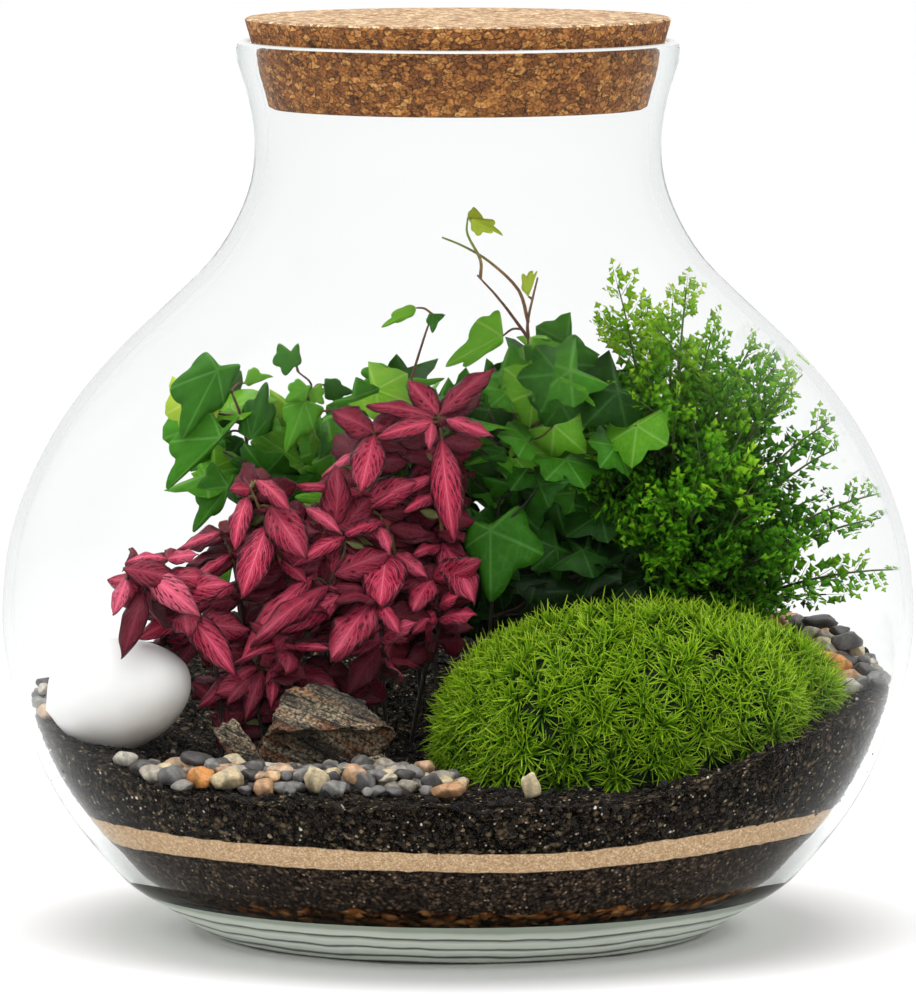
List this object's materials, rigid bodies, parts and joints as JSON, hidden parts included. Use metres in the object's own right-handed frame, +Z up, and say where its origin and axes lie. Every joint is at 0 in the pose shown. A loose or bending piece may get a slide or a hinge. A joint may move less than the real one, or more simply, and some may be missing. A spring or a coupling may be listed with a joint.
{
  "type": "glass plant terrarium",
  "caption": "Closed planted terrarium: a bulbous clear glass vase with a cork stopper, layered soil and sand, stones, moss, fern, ivy and pink nerve plants.",
  "frame": {"origin": "centre of the vase's foot, on the surface it stands on", "axes": "+Z up through the neck, -Y towards the front with the pink plants and the moss, +X towards the moss and the fern"},
  "size_m": [0.2836, 0.2836, 0.284],
  "materials": {
    "clear_glass": "clear blown glass, polished",
    "cork": "pressed cork granules, raw",
    "drainage": "fired clay chips, matt",
    "soil": "crumbly dark potting soil",
    "sand": "fine dry sand",
    "white_stone": "tumbled, smooth and matt",
    "rock": "split slate, layered and rusty",
    "pebbles": "tumbled river pebbles, satin",
    "nerve_leaf": "pink leaf with veins, satin",
    "ivy_leaf": "green leaf with pale veins, waxy",
    "fern_leaf": "fresh green leaflets, satin",
    "moss": "dense fine needles, matt"
  },
  "bodies": {
    "root": {"cork_stopper": "cork", "drainage_layer": "drainage", "fern": "fern_leaf", "glass_vase": "clear_glass", "ivy_centre": "ivy_leaf", "ivy_front": "ivy_leaf", "ivy_left": "ivy_leaf", "ivy_mid": "ivy_leaf", "ivy_right": "ivy_leaf", "ivy_top": "ivy_leaf", "lower_soil": "soil", "moss_cushion": "moss", "nerve_plant_a": "nerve_leaf", "nerve_plant_b": "nerve_leaf", "nerve_plant_c": "nerve_leaf", "nerve_plant_d": "nerve_leaf", "nerve_plant_e": "nerve_leaf", "nerve_plant_f": "nerve_leaf", "nerve_plant_g": "nerve_leaf", "nerve_plant_h": "nerve_leaf", "nerve_plant_i": "nerve_leaf", "pebble_cream_long": "pebbles", "pebble_cream_round": "pebbles", "pebble_cream_tall": "pebbles", "pebble_cream_wide": "pebbles", "pebble_orange_round": "pebbles", "pebble_pink": "pebbles", "pebble_striped": "pebbles", "pebble_tan_front": "pebbles", "pebble_tan_moss": "pebbles", "pebble_white_spotted": "pebbles", "pebbles_front_1": "pebbles", "pebbles_front_10": "pebbles", "pebbles_front_11": "pebbles", "pebbles_front_12": "pebbles", "pebbles_front_13": "pebbles", "pebbles_front_2": "pebbles", "pebbles_front_3": "pebbles", "pebbles_front_4": "pebbles", "pebbles_front_5": "pebbles", "pebbles_front_6": "pebbles", "pebbles_front_7": "pebbles", "pebbles_front_8": "pebbles", "pebbles_front_9": "pebbles", "pebbles_left": "pebbles", "pebbles_right": "pebbles", "rock_chip": "rock", "rock_large": "rock", "rock_small": "rock", "sand_band": "sand", "upper_soil": "soil", "white_stone": "white_stone"}
  },
  "joints": []
}
